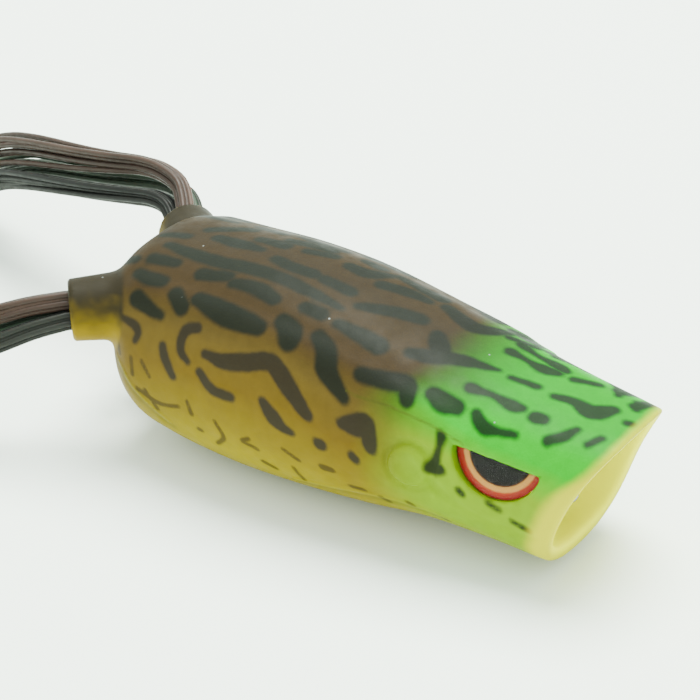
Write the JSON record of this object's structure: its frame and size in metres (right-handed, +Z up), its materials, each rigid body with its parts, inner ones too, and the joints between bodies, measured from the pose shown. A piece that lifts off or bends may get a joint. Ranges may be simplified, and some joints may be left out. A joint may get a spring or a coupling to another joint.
{
  "type": "topwater popper lure",
  "caption": "Hollow soft-bodied popping frog lure with a cupped mouth, rubber-strand legs, a double hook that runs from nose to rump, a keel weight and a rattle.",
  "frame": {"origin": "on the surface that the belly rests on, midway between the upper lip and the back of the hook, on the plane of symmetry", "axes": "+X towards the mouth, +Y to the lure's left, +Z up"},
  "size_m": [0.1223, 0.0541, 0.0251],
  "materials": {
    "soft_shell": "satin painted soft plastic",
    "eye_print": "printed rings",
    "eye_dome": "clear gloss resin",
    "hook_wire": "black nickel",
    "keel_lead": "cast lead",
    "bushing": "satin",
    "rattle_case": "gloss",
    "rattle_steel": "polished",
    "band_rubber": "matte",
    "strand_brown": "satin",
    "strand_green": "satin",
    "strand_black": "satin"
  },
  "bodies": {
    "body": {"body_shell": "soft_shell", "nose_bushing": "bushing", "eye_iris_right": "eye_print", "eye_iris_left": "eye_print", "eye_lens_right": "eye_dome", "eye_lens_left": "eye_dome", "leg_root_right": "strand_brown", "leg_root_left": "strand_brown", "leg_tie_right": "band_rubber", "leg_tie_left": "band_rubber"},
    "hook": {"double_hook": "hook_wire", "keel_weight": "keel_lead", "rattle_tube": "rattle_case", "rattle_plug": "rattle_case", "rattle_band_rear": "band_rubber", "rattle_band_front": "band_rubber"},
    "ball_1": {"rattle_ball_1": "rattle_steel"},
    "ball_2": {"rattle_ball_2": "rattle_steel"},
    "ball_3": {"rattle_ball_3": "rattle_steel"},
    "leg_right": {"leg_brown_right": "strand_brown", "leg_green_right": "strand_green", "leg_black_right": "strand_black"},
    "leg_left": {"leg_brown_left": "strand_brown", "leg_green_left": "strand_green", "leg_black_left": "strand_black"}
  },
  "joints": [
    {"name": "hook_swing", "type": "hinge", "parent": "body", "child": "hook", "pos_m": [0.0219, 0, 0.007], "axis": [0, -1, 0], "range_deg": [0, 5]},
    {"name": "leg_right_sweep", "type": "hinge", "parent": "body", "child": "leg_right", "pos_m": [-0.0309, -0.0112, 0.017], "axis": [0, 0, 1], "range_deg": [-20, 28], "stiffness_Nm_per_rad": 0.0004},
    {"name": "leg_left_sweep", "type": "hinge", "parent": "body", "child": "leg_left", "pos_m": [-0.0309, 0.0112, 0.017], "axis": [0, 0, -1], "range_deg": [-20, 28], "stiffness_Nm_per_rad": 0.0004},
    {"name": "ball_1_roll", "type": "slide", "parent": "hook", "child": "ball_1", "axis": [1, 0, 0], "range_m": [0, 0.0036]},
    {"name": "ball_2_roll", "type": "slide", "parent": "hook", "child": "ball_2", "axis": [1, 0, 0], "range_m": [0, 0.0036]},
    {"name": "ball_3_roll", "type": "slide", "parent": "hook", "child": "ball_3", "axis": [1, 0, 0], "range_m": [0, 0.0036]}
  ],
  "couplings": [
    {"joint": "ball_2_roll", "follows": "ball_1_roll", "ratio": 1},
    {"joint": "ball_3_roll", "follows": "ball_1_roll", "ratio": 1}
  ]
}
